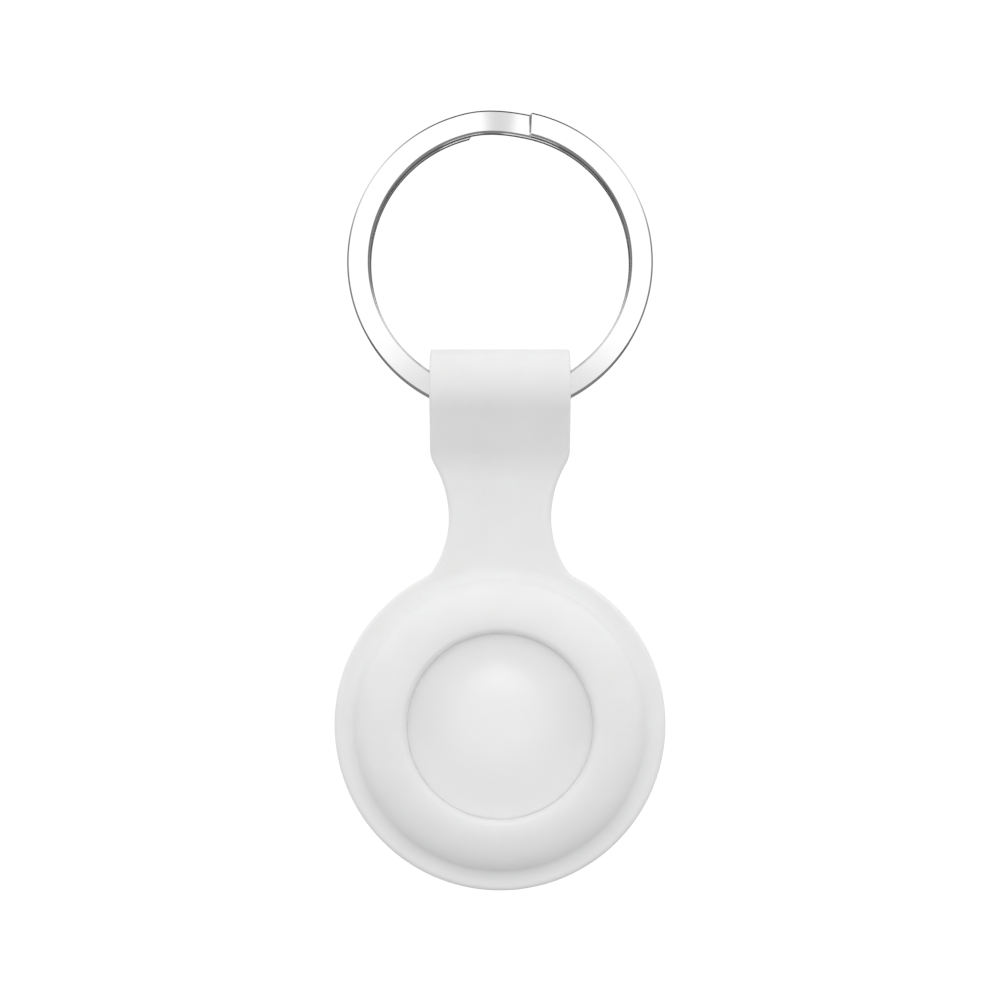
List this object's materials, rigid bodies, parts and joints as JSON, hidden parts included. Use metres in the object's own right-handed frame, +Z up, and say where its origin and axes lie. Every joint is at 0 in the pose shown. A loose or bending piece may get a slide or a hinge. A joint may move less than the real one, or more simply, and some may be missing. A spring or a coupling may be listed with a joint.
{
  "type": "bluetooth tracker tag",
  "caption": "Coin-shaped wireless tracker in a white silicone loop holder with a round window, hung on a flat split key ring.",
  "frame": {"origin": "centre of the key ring, on its axis and midway through its thickness", "axes": "+Z up as it hangs, +Y out of the back, -Y out of the front with the window, +X to the right seen from the front"},
  "size_m": [0.0378, 0.0102, 0.0893],
  "materials": {
    "polished_steel": "mirror-polished steel wire",
    "white_silicone": "soft matte silicone with a faint sheen",
    "snap_metal": "satin nickel plating",
    "spring_bronze": "phosphor bronze, bright",
    "white_plastic": "polished white plastic",
    "coil_copper": "enamelled copper winding",
    "magnet_nickel": "nickel-plated magnet",
    "board_green": "solder mask on a glass-fibre board",
    "can_steel": "tinned sheet steel",
    "chip_black": "matte moulded epoxy",
    "ceramic_tan": "fired ceramic with tinned ends",
    "frame_plastic": "natural moulded plastic",
    "trace_gold": "gold-plated copper tracks",
    "tray_plastic": "fine matte moulded plastic",
    "cell_steel": "bright nickel-plated steel",
    "gasket_black": "moulded sealing gasket",
    "cover_steel": "polished stainless steel"
  },
  "bodies": {
    "key_ring": {"key_ring": "polished_steel"},
    "holder": {"silicone_holder": "white_silicone", "snap_stud": "snap_metal", "snap_post": "snap_metal"},
    "flap": {"strap_flap": "white_silicone", "snap_cap": "snap_metal", "snap_socket": "snap_metal", "snap_spring": "spring_bronze"},
    "tag": {"front_cover": "white_plastic", "voice_coil": "coil_copper", "speaker_magnet": "magnet_nickel", "magnet_yoke": "can_steel", "logic_board": "board_green", "shield_can": "can_steel", "board_chips": "chip_black", "board_passives": "ceramic_tan", "antenna_frame": "frame_plastic", "antenna_traces": "trace_gold", "battery_tray": "tray_plastic", "positive_contacts": "trace_gold", "negative_contact": "trace_gold", "battery_can": "cell_steel", "battery_gasket": "gasket_black", "battery_cap": "cell_steel"},
    "battery_cover": {"battery_cover": "cover_steel", "cover_clip_ring": "tray_plastic", "cover_seal": "gasket_black"}
  },
  "joints": [
    {"name": "ring_swing", "type": "hinge", "parent": "key_ring", "child": "holder", "pos_m": [0, 0, -0.01503], "axis": [1, 0, 0], "range_deg": [-160, 160]},
    {"name": "flap_open", "type": "hinge", "parent": "holder", "child": "flap", "pos_m": [0, 0, -0.00998], "axis": [1, 0, 0], "range_deg": [0, 120]},
    {"name": "tag_spin", "type": "hinge", "parent": "holder", "child": "tag", "pos_m": [0, 0, -0.0529], "axis": [0, 1, 0], "continuous": true},
    {"name": "cover_twist", "type": "hinge", "parent": "tag", "child": "battery_cover", "pos_m": [0, 0, -0.0529], "axis": [0, 1, 0], "range_deg": [0, 16]}
  ]
}
